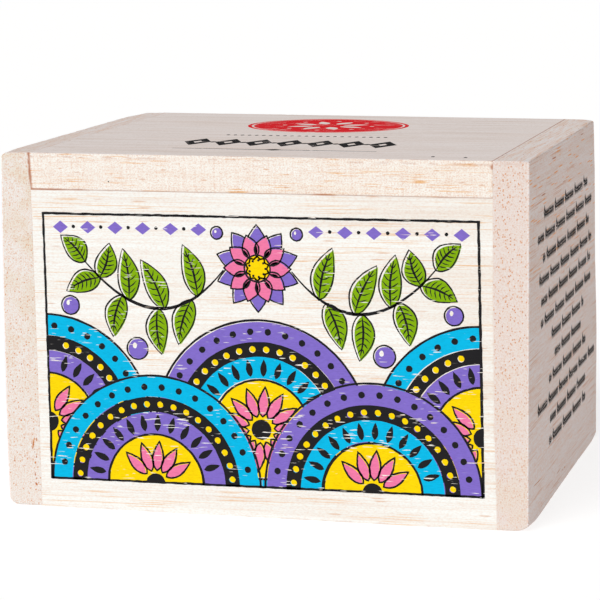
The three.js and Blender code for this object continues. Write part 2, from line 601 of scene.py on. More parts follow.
def ink(name, ink_colour, bare_wood, finish):
    """Screen ink on bare wood: matt and mottled, with thin gaps where it missed the open grain."""
    woods = bpy.context.scene.tea_box.woods
    material, tree = new_tree(name)
    colours = (*bare_wood, woods.streak, woods.pore, woods.pore_dark)
    bare, height = wood_grain(tree, finish, *colours)
    grain = finish["grain"]
    place = grain_coordinates(tree, finish)
    dash = stretched_noise(tree, place, grain, INK_GAP, SEEDS["ink_gaps"], 1.0)
    cluster = stretched_noise(tree, place, grain, INK_GAP_CLUSTER, SEEDS["ink_gap_clusters"])
    gap = times(tree, step(tree, dash, *INK_GAP_EDGE), step(tree, cluster, *INK_CLUSTER_EDGE))
    mottle = stretched_noise(tree, place, grain, INK_MOTTLE, SEEDS["ink_mottle"])
    printed = toasted(tree, ink_colour, mottle, 0.05, (1, 1, 1))
    body = mixed(tree, gap, printed, bare)
    finish_surface(tree, body, height, 0.8, 0.1, 0.03)
    return material


# ---------------------------------------------------------------------------------------------
# Boards


# Cuts near a board's edge, in millimetres from it: close enough together to carry torn fibres.
NEAR_CUTS = (0.25, 0.32, 0.45, 0.7, 1.0, 1.35, 1.75, 2.2)
# Size of the cells between the cuts: on most boards, on the thin side of an end board, and on the lid.
CELL = 1.6 * MM
END_BOARD_CELLS = (0.9 * MM, CELL, CELL)
WALL_CELLS = (CELL, CELL, CELL)
LID_CELLS = (0.7 * MM, CELL, 0.65 * MM)
# A point this near a face of a board belongs to the edge round that face.
EDGE_ZONE = 0.3 * MM
# An edge that fits tight against another board is this share as blunt as an outer one.
TIGHT_EDGE = 0.15
# How far in from an edge fibres tear out, and the sizes of a torn place and of a worn stretch.
TEAR_REACH = 0.9 * MM
TORN_SIZE, WORN_SIZE = 0.9 * MM, 7 * MM
# How much a worn stretch adds to the tearing, and how much noise it takes for any.
WORN_SHARE, TEAR_FROM = 0.25, 0.12
# How far the noise of the spots is stretched before their share is cut, and how crisp they are.
NOISE_GAIN, SPOT_CONTRAST = 1.2, 3


def cuts(low, high, cell):
    """Places of the cuts along one side of a board: close together at its ends, then every cell."""
    near = [gap * MM for gap in NEAR_CUTS]
    places = [low + gap for gap in near if low + gap < (low + high) / 2]
    places += [high - gap for gap in near if high - gap > (low + high) / 2]
    inner_low, inner_high = low + near[-1], high - near[-1]
    count = int((inner_high - inner_low) / cell)
    places += [inner_low + (inner_high - inner_low) * i / count for i in range(1, count)]
    return places


def round_edges(bm, edges, offset, segments):
    """Bevels some edges round."""
    shape = {"affect": "EDGES", "offset_type": "OFFSET", "profile": 0.5, "material": -1}
    bmesh.ops.bevel(bm, geom=edges, offset=offset, segments=segments, **shape)


def board_blank(low, high, edge, cells):
    """A board with broken edges, cut into cells, so that its edges can be worn."""
    bm = bmesh.new()
    bmesh.ops.create_cube(bm, size=1)
    bmesh.ops.scale(bm, vec=high - low, verts=bm.verts)
    bmesh.ops.translate(bm, vec=(low + high) / 2, verts=bm.verts)
    round_edges(bm, bm.edges[:], edge, 2)
    for axis in (X, Y, Z):
        normal = Vector((axis == X, axis == Y, axis == Z))
        for place in cuts(low[axis], high[axis], cells[axis]):
            geometry = bm.verts[:] + bm.edges[:] + bm.faces[:]
            bmesh.ops.bisect_plane(bm, geom=geometry, plane_co=normal * place, plane_no=normal)
    return bm


def keep_sharp(bm, low, high, axis, side):
    """Makes the edges round one face of a board sharper, where it fits tight against another."""
    face = low[axis] if side < 0 else high[axis]
    for vert in bm.verts:
        if abs(vert.co[axis] - face) > EDGE_ZONE:
            continue
        vert.co[axis] = face + (vert.co[axis] - face) * TIGHT_EDGE
        for other in (X, Y, Z):
            for limit in (low[other], high[other]):
                if other != axis and abs(vert.co[other] - limit) < EDGE_ZONE:
                    vert.co[other] = limit + (vert.co[other] - limit) * TIGHT_EDGE


def wear_edges(bm, low, high, chip, seed):
    """Presses small hollows into the edges, where fibres have torn out."""
    middle = (low + high) / 2
    for vert in bm.verts:
        gaps = [min(vert.co[i] - low[i], high[i] - vert.co[i]) for i in (X, Y, Z)]
        to_edge = sorted(gaps)[1]
        if to_edge >= TEAR_REACH:
            continue
        torn = noise.noise(vert.co / TORN_SIZE + Vector((seed, 0, 0)))
        worn = noise.noise(vert.co / WORN_SIZE + Vector((0, seed, 0)))
        depth = chip * (1 - to_edge / TEAR_REACH) * max(0.0, WORN_SHARE * worn + torn - TEAR_FROM)
        inward = [math.copysign(float(gaps[i] < TEAR_REACH), middle[i] - vert.co[i]) for i in (X, Y, Z)]
        vert.co += Vector(inward) * depth


def fades(gap, reach):
    """1 where the gap is nothing, down to 0 where it is the reach, in millimetres."""
    return max(0.0, 1 - abs(gap) / (reach * MM))


def spots(place, size, share):
    """Noise from 0 to 1 with spots of that size in millimetres, over about that share of the wood."""
    value = noise.noise(place / (size * MM)) * NOISE_GAIN + 0.5
    return max(0.0, min(1.0, (value - 1 + share) * SPOT_CONTRAST))


def fibres(place, gap, reach, size, share, gain, base=0.0):
    """How brown the fibres are at a gap from a line, within its reach: a base, and what spots of that
    size and share add to it."""
    return fades(gap, reach) * (base + gain * spots(place, size, share))


def stain(bm, amount):
    """Browns a board. amount gives each point's share, which the wood's material reads as torn; on the
    lid's top it also carries a line of painted shade along the right end.
    """
    layer = bm.verts.layers.float.get("torn") or bm.verts.layers.float.new("torn")
    for vert in bm.verts:
        vert[layer] = max(vert[layer], min(1.0, amount(vert.co)))


# How much of a quarter of an oval the belt leaves at a corner: 1 would be the whole of it. The lift
# fades out at so many times its own size from the face.
BELT_ARC, LIFT_DEPTH = 0.93, 3


def sand_corner(bm, corner, reach, lift):
    """Lifts the board's face near an outer corner, as a sanding belt rounds it. reach is how far along
    X and Y from the corner the rounding starts, and lift is how far the corner itself moves along Z."""
    depth = abs(lift) * LIFT_DEPTH
    for vert in bm.verts:
        if abs(vert.co.z - corner.z) > depth:
            continue
        side = max(0.0, 1 - abs(vert.co.x - corner.x) / reach[0])
        deep = max(0.0, 1 - abs(vert.co.y - corner.y) / reach[1])
        share = 1 - abs(vert.co.z - corner.z) / depth
        arc = (1 - math.sqrt(1 - (BELT_ARC * side) ** 2)) / (1 - math.sqrt(1 - BELT_ARC**2))
        vert.co.z += lift * arc * deep**2 * share


def finish_mesh(bm, name, materials):
    """Makes an object of a bmesh, shaded smooth, with its materials."""
    mesh = bpy.data.meshes.new(name)
    bm.to_mesh(mesh)
    bm.free()
    mesh.shade_smooth()
    made = bpy.data.objects.new(name, mesh)
    bpy.context.scene.collection.objects.link(made)
    for material in materials:
        mesh.materials.append(material)
    return made


def keep_flats_flat(made):
    """Gives the large flat faces the say over the shading at a board's edges."""
    weigh = made.modifiers.new("flat_faces", "WEIGHTED_NORMAL")
    weigh.keep_sharp = True
    weigh.weight = 90


def paint_faces(bm, choose):
    """Gives each face the material number that choose says for its normal."""
    bm.normal_update()
    for face in bm.faces:
        face.material_index = choose(face.normal)


def stand_for(made, node, body):
    """Hides a CAD node, and lets the piece move and stand for it."""
    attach(made, body)
    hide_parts(node)


# How far the belt rounded each outer corner of the end boards: along X, along Y, and up or down.
# The keys are the side (-1 is left), the end (-1 is the front) and the height (-1 is the bottom).
SANDED_CORNERS = {
    (1, -1, -1): (3.2, 12, 1.1),
    (1, 1, -1): (2.2, 8, 0.9),
    (1, -1, 1): (0.8, 3, 0.15),
    (1, 1, 1): (4.0, 7, 0.35),
    (-1, -1, -1): (1.9, 7, 1.35),
    (-1, 1, -1): (1.8, 7, 0.7),
    (-1, -1, 1): (1.3, 8, 0.8),
    (-1, 1, 1): (2.2, 12, 0.8),
}


def end_stain(low, high, side):
    """How brown an end board is: on the left one at the front where the lid rubs it, and on the right
    one in a band at the top of its end grain."""
    lid_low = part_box("lid")[0].z

    def amount(place):
        if place.y >= low.y + EDGE_ZONE:
            return 0.0
        if side > 0:
            return fibres(place, high.z - place.z - 0.5 * MM, reach=1.1, size=0.8, share=0.8, gain=0.35)
        if place.z <= lid_low:
            return 0.0
        return fibres(place, place.x - high.x, reach=0.45, size=0.7, share=0.6, gain=1, base=0.6)

    return amount


# How far the joints between the end boards and the walls run out of true: for the left and the right
# one, heights and the shift along X there, both in millimetres.
JOINT_LINES = {
    -1: ((0, 0.1), (30, -0.05), (60, -0.3), (67.6, -0.62)),
    1: ((0, 0.75), (9, 0.57), (19, 0.25), (37, 0.1), (50, 0.0), (67.6, 0.0)),
}
# How far each end board has bowed outwards, by its height: at its front, and where it has curled at
# its back.
BOWS = {
    -1: (((0, 0.12), (12, 0.36), (40, 0.2), (67.6, -0.2)), ((0, 0.0), (34, 0.3), (67.6, -0.2))),
    1: (((0, 0.2), (67.6, 0.2)), ((0, 0.5), (24, 0.46), (40, 0.04), (56, -0.13), (67.6, -0.45))),
}
# How far in from the front the joints come true, and how far into a board their shift reaches, in
# millimetres.
JOINT_DEPTH, JOINT_REACH = 60, 8


def along(pairs, up):
    """The shift at a height, read from pairs of a height and a shift, which are in millimetres."""
    for (low, before), (high, after) in zip(pairs, pairs[1:]):
        if up / MM <= high:
            break
    share = min(1.0, (up / MM - low) / (high - low))
    return (before + (after - before) * share) * MM


def joint_shift(side, place):
    """How far a joint is out at a place: it comes true towards the back, where the lid swings."""
    return along(JOINT_LINES[side], place.z) * fades(place.y - FRONT, JOINT_DEPTH)


def follow_joints(bm, low, high):
    """Moves the ends of a board that stands between the end boards onto the joint lines."""
    for vert in bm.verts:
        for side, end in ((-1, low.x), (1, high.x)):
            vert.co.x += fades(vert.co.x - end, JOINT_REACH) * joint_shift(side, vert.co)


def bowed(side, place):
    """How far an end board's outer face stands out at a place. The back's bow sets in close to it."""
    front, back = BOWS[side]
    far = ((place.y - FRONT) / (BACK - FRONT)) ** 4
    return (1 - far) * along(front, place.z) + far * along(back, place.z)


# How much the belt took off the top, in millimetres: everywhere, how much more at its right end than
# in its middle, and towards its left edge, from that share of the half width outwards.
SANDED_ALL, SANDED_TILT = 0.045, 0.105
SANDED_EDGE, SANDED_EDGE_FROM = 1.2, 0.88


def sanded_off(place):
    """How far the sanded top stands over its true height at a place: the belt ran a little askew, and
    took more off the left end board's outer edge."""
    across = place.x / RIGHT
    deep = (place.y - FRONT) / (BACK - FRONT)
    edge = max(0.0, -across - SANDED_EDGE_FROM)
    return -(SANDED_ALL + SANDED_TILT * (1 + deep) * across + SANDED_EDGE * edge) * MM


def sand_top(bm):
    """Tilts the top of the lid or of an end board, and leaves what is under the lid as it is."""
    lid_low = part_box("lid")[0].z
    for vert in bm.verts:
        share = (vert.co.z - lid_low) / (TOP - lid_low)
        vert.co.z += max(0.0, share) * sanded_off(vert.co)


def bow(bm, side, low, high):
    """Bows an end board's outer face, and moves its inner one onto the joint line."""
    inner, outer = (high.x, low.x) if side < 0 else (low.x, high.x)
    for vert in bm.verts:
        out = (vert.co.x - inner) / (outer - inner)
        shift = joint_shift(side, vert.co)
        vert.co.x += out * side * bowed(side, vert.co) + (1 - out) * shift


def end_board(name, side):
    """One end board, with its outer corners rounded on a sanding belt."""
    boards = bpy.context.scene.tea_box.boards
    low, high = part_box(name)
    bm = board_blank(low, high, boards.end_edge, END_BOARD_CELLS)
    wear_edges(bm, low, high, boards.chip, 4.2 * side)
    keep_sharp(bm, low, high, X, -side)
    stain(bm, end_stain(low, high, side))
    for (corner_side, end, up), (across, deep, lift) in SANDED_CORNERS.items():
        if corner_side == side:
            signs = (side, end, up)
            corner = Vector([low[i] if signs[i] < 0 else high[i] for i in (X, Y, Z)])
            sand_corner(bm, corner, (across * MM, deep * MM), -up * lift * MM)
    paint_faces(bm, end_board_face)
    sand_top(bm)
    bow(bm, side, low, high)
    made = finish_mesh(bm, name + "_wood", [side_wood(), end_grain(side), end_top_and_edge_highlight()])
    keep_flats_flat(made)
    stand_for(made, name, "box")


def end_board_face(normal):
    """The material of an end board's face: 1 is end grain, 2 is the sanded top, which the upright edges
    also get as a painted highlight.
    """
    # The upright edges, whose normals lean between front and side, get the paler top wood as a painted
    # highlight.
    if normal.z > 0.6 or (abs(normal.x) > 0.3 and abs(normal.y) > 0.3):
        return 2
    return 1 if abs(normal.y) > 0.6 else 0


# How far the walls reach into the end boards, where the glue has closed the joint.
GLUE_LAP = 0.1 * MM
# Up to which share of its length the seam under the lid is all brown, and over what share that fades.
SEAM_BROWN, SEAM_FADE = 0.05, 0.1


def seam_brown(place, low, high):
    """How brown the seam under the lid is: full at its left end, then in long spots."""
    across = (place.x - low.x) / (high.x - low.x)
    left = min(1.0, max(0.0, 1 - (across - SEAM_BROWN) / SEAM_FADE))
    return max(left, 0.5 + 0.4 * spots(place, 5, 0.3))


def wall_stain(low, high):
    """How brown a wall is in front: along its upper edge, and in spots along its other edges."""

    def amount(place):
        upper = fades(high.z - place.z, 0.22) * seam_brown(place, low, high)
        lower = fibres(place, place.z - low.z, reach=0.6, size=3, share=0.55, gain=0.45)
        right = fibres(place, high.x - place.x, reach=0.4, size=1.2, share=0.5, gain=0.55)
        return fades(place.y - low.y, EDGE_ZONE / MM) * max(upper, lower, right)

    return amount


def wall(name, seed):
    """A front, back or bottom board."""
    boards = bpy.context.scene.tea_box.boards
    low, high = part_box(name)
    low.x -= GLUE_LAP
    high.x += GLUE_LAP
    bm = board_blank(low, high, boards.edge, WALL_CELLS)
    wear_edges(bm, low, high, boards.chip * 0.5, seed)
    for side in (-1, 1):
        keep_sharp(bm, low, high, Z, side)
    stain(bm, wall_stain(low, high))
    follow_joints(bm, low, high)
    wood = wall_wood() if name == "front_board" else back_wood()
    made = finish_mesh(bm, name + "_wood", [wood])
    keep_flats_flat(made)
    stand_for(made, name, "box")


def round_heel(bm, low, high):
    """Rounds the lid's lower back edge about the hinge line."""
    radius = (high.z - low.z) / 2
    pivot_y, pivot_z = high.y - radius, low.z + radius
    for vert in bm.verts:
        back, down = vert.co.y - pivot_y, pivot_z - vert.co.z
        reach = max(back, down)
        if back <= 0 or down <= 0:
            continue
        shrink = reach / math.hypot(back, down)
        vert.co.y = pivot_y + back * shrink
        vert.co.z = pivot_z - down * shrink


def lid_stain(low, high):
    """How brown the lid is: at the front its two ends, its lower edge, and spots on and under its upper
    edge, and on top a line of painted shade along its right end."""

    def amount(place):
        brown = 0.0
        # Painted shade: a brown line on top along the lid's right end, where it meets the end board.
        if place.z > high.z - EDGE_ZONE:
            brown = 0.95 * fades(high.x - place.x, 0.2)
        if place.y >= low.y + EDGE_ZONE:
            return brown
        corner = 1.3 * fades(high.x - place.x, 0.8) * fades(high.z - place.z - 1.1 * MM, 0.9)
        bottom = fades(place.z - low.z, 0.28) * seam_brown(place, low, high)
        left = fibres(place, place.x - low.x, reach=0.5, size=0.7, share=0.5, gain=0.5, base=0.95)
        right = fibres(place, high.x - place.x, reach=0.8, size=0.9, share=0.4, gain=0.5, base=0.2)
        under = fibres(place, high.z - place.z - 0.7 * MM, reach=0.5, size=2.2, share=0.6, gain=0.45)
        rim = fibres(place, high.z - place.z, reach=0.25, size=2.6, share=0.5, gain=0.5)
        return max(brown, corner, bottom, left, right, under, rim)

    return amount


def lid_board():
    """The lid: a sanded top, sawn edges with torn fibres, and a rounded heel."""
    boards = bpy.context.scene.tea_box.boards
    low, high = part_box("lid")
    low -= Vector((boards.lid_swell_left, 0, boards.lid_swell_down))
    high += Vector((boards.lid_swell_right, 0, 0))
    bm = board_blank(low, high, boards.lid_edge, LID_CELLS)
    wear_edges(bm, low, high, boards.lid_chip, 9.6)
    for side in (-1, 1):
        keep_sharp(bm, low, high, X, side)
    keep_sharp(bm, low, high, Z, -1)
    stain(bm, lid_stain(low, high))
    round_heel(bm, low, high)
    paint_faces(bm, lambda normal: int(abs(normal.z) < 0.6))
    sand_top(bm)
    follow_joints(bm, low, high)
    made = finish_mesh(bm, "lid_wood", [lid_top_wood(), lid_edge_wood()])
    keep_flats_flat(made)
    stand_for(made, "lid", "lid")


def hinge_peg(name):
    """A round peg, sawn from a bamboo rod, with slightly crushed ends."""
    boards = bpy.context.scene.tea_box.boards
    low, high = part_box(name)
    radius = (high.z - low.z) / 2
    bm = bmesh.new()
    rod = {"radius1": radius, "radius2": radius, "depth": high.x - low.x}
    bmesh.ops.create_cone(bm, cap_ends=True, segments=32, **rod)
    rims = [edge for edge in bm.edges if abs(edge.verts[0].co.z - edge.verts[1].co.z) < radius / 10]
    round_edges(bm, rims, boards.peg_edge, 3)
    bmesh.ops.rotate(bm, matrix=Matrix.Rotation(math.pi / 2, 3, "Y"), verts=bm.verts)
    bmesh.ops.translate(bm, vec=(low + high) / 2, verts=bm.verts)
    made = finish_mesh(bm, name + "_bamboo", [bamboo()])
    keep_flats_flat(made)
    stand_for(made, name, "lid")


# ---------------------------------------------------------------------------------------------
# Printing. Every shape is a thin film that stands a few hundredths of a millimetre off the wood.
# Its outline is given in millimetres across and up its surface.


def on_front(across, up, height):
    """A point just off the front."""
    return Vector((across * MM, FRONT - height * MM, up * MM))


def in_panel(across, up, height):
    """A point of the front print. Its screen lay askew, so each corner of the print is a little out."""
    right = (across - PANEL_LOW[0]) / (PANEL_HIGH[0] - PANEL_LOW[0])
    down = (PANEL_HIGH[1] - up) / (PANEL_HIGH[1] - PANEL_LOW[1])
    shift = [
        (1 - down) * ((1 - right) * PANEL_TOP_LEFT[i] + right * PANEL_TOP_RIGHT[i])
        + down * ((1 - right) * PANEL_FOOT_LEFT[i] + right * PANEL_FOOT_RIGHT[i])
        for i in (0, 1)
    ]
    return on_front(across + shift[0], up + shift[1], height)


def on_lid(across, deep, height):
    """A point of the lid's print. deep is measured from the front edge."""
    place = Vector((across * MM, FRONT + deep * MM, TOP + height * MM))
    place.z += sanded_off(place)
    return place


def on_right(deep, up, height):
    """A point just off the right side. deep is measured from the front edge."""
    place = Vector((RIGHT + height * MM, FRONT + deep * MM, up * MM))
    place.x += bowed(1, place)
    return place


# How high most films stand over the wood, and how deep all of them root in it.
FILM_HEIGHT, FILM_ROOT = 0.02, -0.03
# How far ink strays from the edge of a shape, and from that of the frame.
INK_JITTER, FRAME_JITTER = 0.035, 0.055
# Points of an outline that are closer than this are one point.
SAME_POINT = 0.01


class Print:
    """Collects the films of one ink on one surface, and makes one piece of them."""

    def __init__(self, name, place, material, body, slot):
        self.name = name
        self.place = place
        self.material = material
        self.body = body
        self.slot = slot
        self.bm = bmesh.new()
        self.draw = random.Random(name)

    def film(self, loops, level=FILM_HEIGHT, jitter=INK_JITTER):
        """Prints a shape: its outline, then the holes in it. level is its height, and jitter is how far
        the edge strays, in millimetres."""
        bm = bmesh.new()
        for points in loops:
            points = without_repeats(points)
            ring = bmesh.ops.create_circle(bm, cap_ends=False, segments=len(points), radius=1)
            for vert, (across, up) in zip(ring["verts"], points):
                across += self.draw.uniform(-jitter, jitter)
                up += self.draw.uniform(-jitter, jitter)
                vert.co = self.place(across, up, level)
        filled = bmesh.ops.triangle_fill(bm, use_beauty=True, edges=bm.edges[:])["geom"]
        faces = [part for part in filled if isinstance(part, bmesh.types.BMFace)]
        if not faces:
            raise RuntimeError(f"{self.name} has a shape that can't be filled")
        raised = bmesh.ops.extrude_face_region(bm, geom=faces, use_keep_orig=True)["geom"]
        sunk = [part for part in raised if isinstance(part, bmesh.types.BMVert)]
        down = self.place(0, 0, FILM_ROOT) - self.place(0, 0, level)
        bmesh.ops.translate(bm, vec=down, verts=sunk)
        bmesh.ops.recalc_face_normals(bm, faces=bm.faces)
        film = bpy.data.meshes.new("film")
        bm.to_mesh(film)
        bm.free()
        self.bm.from_mesh(film)
        bpy.data.meshes.remove(film)

    def finish(self):
        """Closes the piece and lets it move with its board."""
        mesh = bpy.data.meshes.new(self.name)
        self.bm.to_mesh(mesh)
        self.bm.free()
        mesh.materials.append(self.material)
        made = bpy.data.objects.new(self.name, mesh)
        bpy.context.scene.collection.objects.link(made)
        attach(made, self.body)


def without_repeats(points):
    """The points of a closed outline, without any that lies on the one before it."""
    return [p for i, p in enumerate(points) if math.dist(p, points[i - 1]) > SAME_POINT]


def moved(points, across, up):
    """An outline shifted by two distances."""
    return [(x + across, y + up) for x, y in points]


def ahead(point, reach, angle):
    """The point that lies ahead of another, at a distance and an angle."""
    return (point[0] + reach * math.cos(angle), point[1] + reach * math.sin(angle))


def around(centre, radius, count, start=0.0):
    """Points evenly round a circle, with their angles."""
    angles = [start + FULL_TURN * i / count for i in range(count)]
    return [(ahead(centre, radius, angle), angle) for angle in angles]


def oval(across, up, half_width, half_height, points):
    """An oval about a centre."""
    angles = [FULL_TURN * i / points for i in range(points)]
    return [(across + half_width * math.cos(a), up + half_height * math.sin(a)) for a in angles]


def disc(centre, radius, points):
    """A circle about a centre."""
    return oval(*centre, radius, radius, points)


def lozenge(across, up, half_width, half_height):
    """A diamond on its point."""
    return [
        (across + half_width, up),
        (across, up + half_height),
        (across - half_width, up),
        (across, up - half_height),
    ]


def rectangle(low, high):
    """A rectangle from its lower left corner to its upper right one."""
    return [(low[0], low[1]), (high[0], low[1]), (high[0], high[1]), (low[0], high[1])]


def clipped(points, low, high):
    """The part of an outline that lies inside a rectangle."""
    for axis in (0, 1):
        for limit, side in ((low[axis], 1), (high[axis], -1)):
            kept = []
            for start, end in zip(points, points[1:] + points[:1]):
                before, after = side * (start[axis] - limit), side * (end[axis] - limit)
                if before >= 0:
                    kept.append(start)
                if before * after < 0:
                    share = before / (before - after)
                    kept.append(tuple(start[k] + (end[k] - start[k]) * share for k in (0, 1)))
            points = kept
    return points


def leaf_point(root, angle, reach, bend, share, offset):
    """A point beside a leaf's midrib: share is how far along it, offset how far to its left."""
    run = reach * share
    aside = bend * math.sin(math.pi * share) + offset
    cos, sin = math.cos(angle), math.sin(angle)
    return (root[0] + run * cos - aside * sin, root[1] + run * sin + aside * cos)


def leaf_half_width(share, width):
    """Half the width of a leaf at a share of its length: fullest before the middle, with a long tip."""
    return width / 2 * math.sin(math.pi * share**0.8) ** 0.9


def leaf(root, angle, reach, width, bend=0, points=16):
    """The outline of a pointed leaf. bend is how far its middle stands aside."""
    shares = [i / points for i in range(points + 1)]
    left = [leaf_point(root, angle, reach, bend, s, leaf_half_width(s, width)) for s in shares]
    right = [leaf_point(root, angle, reach, bend, s, -leaf_half_width(s, width)) for s in shares]
    return left + right[-2:0:-1]


# The least width of a brush line, as a share of its full width.
THIN_END = 0.35


def stroke(points, width):
    """A brush line through some points, fullest in its middle and thin at its ends."""
    left, right = [], []
    last = len(points) - 1
    for i, (x, y) in enumerate(points):
        before, after = points[max(i - 1, 0)], points[min(i + 1, last)]
        run, rise = after[0] - before[0], after[1] - before[1]
        reach = math.hypot(run, rise)
        half = width / 2 * (THIN_END + (1 - THIN_END) * math.sin(math.pi * i / last))
        left.append((x - rise / reach * half, y + run / reach * half))
        right.append((x + rise / reach * half, y - run / reach * half))
    return left + right[::-1]


def curve_points(start, control, end, count):
    """Points along a quadratic curve."""
    shares = [i / count for i in range(count + 1)]
    weights = [((1 - s) ** 2, 2 * s * (1 - s), s**2) for s in shares]
    return [
        tuple(a * start[i] + b * control[i] + c * end[i] for i in (0, 1)) for a, b, c in weights
    ]


# The front panel, in millimetres from the middle of the box and from its bottom.
PANEL_LOW, PANEL_HIGH = (-41.9, 6.05), (41.4, 56.55)
PANEL_MIDDLE = (PANEL_LOW[0] + PANEL_HIGH[0]) / 2
# The frame's width: at the left, the top and the foot, and at the right.
PANEL_LINE, PANEL_LINE_RIGHT = 0.44, 0.52
# How far each corner of the panel is out, across and up.
PANEL_TOP_LEFT, PANEL_TOP_RIGHT = (0, 0), (-0.09, 0.18)
PANEL_FOOT_LEFT, PANEL_FOOT_RIGHT = (0.35, -0.6), (0.8, -0.2)

# Heights of the films over the wood, in millimetres: of the prints behind and in front, then how much
# higher black lies on black, and the petals' pink on a fan's yellow. Last, how far each colour's screen
# was out.
REAR_COLOUR, REAR_BLACK = 0.008, 0.014
NEAR_COLOUR, NEAR_BLACK = 0.022, 0.03
ON_BLACK, PETAL_LIFT = 0.001, 0.003
SCREEN_SHIFT = {
    "violet": (0.12, -0.1),
    "blue": (-0.16, 0.08),
    "yellow": (0.1, 0.1),
    "pink": (-0.08, -0.12),
    "green": (0.3, -0.16),
}

# The fans: their radius, how high the rear row stands, and the shares of the radius between which
# each ring lies.
FAN_RADIUS = 20.6
FAN_REAR_RISE = 11.0
RIM = (0.98, 1.0)
FIRST_RING = (0.795, 0.98)
DOTTED_RING = (0.66, 0.795)
SECOND_RING = (0.462, 0.66)
SUN_LINE = (0.442, 0.462)
SUN = (0.0, 0.442)
# The fans in the order of printing: where each stands along the panel, as a share of its width, how
# high, its angles, its two colours, and the heights of its films.
REAR, NEAR = (REAR_COLOUR, REAR_BLACK), (NEAR_COLOUR, NEAR_BLACK)
FANS = (
    (0, FAN_REAR_RISE, (-90, 90), ("blue", "violet"), REAR),
    (0.5, FAN_REAR_RISE, (-89.8, 269.8), ("violet", "blue"), REAR),
    (1, FAN_REAR_RISE, (90, 270), ("blue", "violet"), REAR),
    (0.25, 0, (0, 180), ("blue", "violet"), NEAR),
    (0.75, 0, (0, 180), ("violet", "blue"), NEAR),
)
# The segments in the whole turn of a ring.
RING_SEGMENTS = 96
# The rows of marks on a fan: at which share of its radius each stands, how many marks it has, and
# the angle of its first one.
YELLOW_DOTS = (0.7275, 36, 0.09)
BLACK_DOTS = (0.8875, 34, 0.0)
DROPS = (0.482, 26, 0.06)
PETALS = (0.11, 14, 0.11)
# The sizes of those marks: the dots' radius, the others' lengths and widths, and how far a petal's
# colour starts from its root. Last, the radius of the disc on the sun.
FAN_DOT = 0.62
DROP = (3.3, 1.25)
PETAL, PETAL_COLOUR, PETAL_START = (6, 2.5), (5, 1.75), 0.4
FAN_DISC = 1.9
# How far the yellow dots and the drops keep from the frame, and the black dots and the petals.
SMALL_MARGIN, LARGE_MARGIN = 0.9, 1.2


class FrontPrint:
    """The print on the front board: a black screen over the screens of five colours."""

    def __init__(self):
        settings = bpy.context.scene.tea_box
        woods = settings.woods
        self.screens = {}
        for name in ("black", "violet", "blue", "yellow", "pink", "green"):
            bare = (woods.wall, woods.wall_warm)
            material = ink(f"screen_ink_{name}", getattr(settings.inks, name), bare, WALL)
            self.screens[name] = Print(f"print_{name}", in_panel, material, "box", "wall_wood")

    def black(self, loops, level, jitter=INK_JITTER):
        """Prints a black shape, with its holes."""
        self.screens["black"].film(loops, level, jitter)

    def fill(self, name, loops, level):
        """Prints a shape in a colour, where that colour's screen puts it."""
        shift = SCREEN_SHIFT[name]
        loops = [clipped(moved(points, *shift), PANEL_LOW, PANEL_HIGH) for points in loops]
        self.screens[name].film(loops, level)

    def outlined(self, name, outer, inner, coloured, black_level):
        """Prints a colour inside a black outline."""
        self.fill(name, [inner], coloured)
        self.black([outer, inner], black_level)

    def finish(self):
        """Makes the six pieces."""
        for screen in self.screens.values():
            screen.finish()


def panel_frame(printed):
    """The thin black frame of the panel."""
    low = (PANEL_LOW[0] + PANEL_LINE, PANEL_LOW[1] + PANEL_LINE)
    high = (PANEL_HIGH[0] - PANEL_LINE_RIGHT, PANEL_HIGH[1] - PANEL_LINE)
    outer = rough_rectangle(PANEL_LOW, PANEL_HIGH)
    printed.black([outer, rough_rectangle(low, high)], NEAR_BLACK, FRAME_JITTER)


def rough_rectangle(low, high, step_length=0.8):
    """A rectangle with points along its sides, so that its lines waver a little."""
    corners = rectangle(low, high)
    points = []
    for start, end in zip(corners, corners[1:] + corners[:1]):
        count = max(1, round(math.dist(start, end) / step_length))
        points += [
            tuple(start[k] + (end[k] - start[k]) * i / count for k in (0, 1)) for i in range(count)
        ]
    return points


def ring_part(centre, shares, angles):
    """A fan's ring between two shares of its radius and two angles, kept inside the panel."""
    start, end = (math.radians(angle) for angle in angles)
    count = round((end - start) / FULL_TURN * RING_SEGMENTS)
    turns = [start + (end - start) * i / count for i in range(count + 1)]
    inner, outer = ([ahead(centre, FAN_RADIUS * share, turn) for turn in turns] for share in shares)
    if shares[0] == 0:
        inner = [centre] if end - start < FULL_TURN * 0.9 else []
    return clipped(outer + inner[::-1], PANEL_LOW, PANEL_HIGH)


def fan(printed, centre, angles, names, coloured, black_level):
    """One fan: a ring of each colour, a dotted black ring between them, and a yellow sun."""
    first, second = names
    printed.fill(first, [ring_part(centre, FIRST_RING, angles)], coloured)
    printed.fill(second, [ring_part(centre, SECOND_RING, angles)], coloured)
    printed.fill("yellow", [ring_part(centre, SUN, angles)], coloured)
    dots = [disc(point, FAN_DOT, 12) for point, _ in fan_row(centre, YELLOW_DOTS)]
    dots = [dot for dot in dots if inside_panel(SMALL_MARGIN, dot[0], dot[6])]
    for dot in dots:
        printed.fill("yellow", [dot], coloured)
    printed.black([ring_part(centre, DOTTED_RING, angles), *dots], black_level)
    for line in (RIM, SUN_LINE):
        printed.black([ring_part(centre, line, angles)], black_level)


def inside_panel(margin, *points):
    """Whether all of these points of the print lie in the panel, a margin away from its frame."""
    return all(
        PANEL_LOW[i] + margin < point[i] < PANEL_HIGH[i] - margin for point in points for i in (0, 1)
    )


def fan_row(centre, row):
    """The points and angles of a row of marks on a fan."""
    share, count, start = row
    return around(centre, FAN_RADIUS * share, count, start)


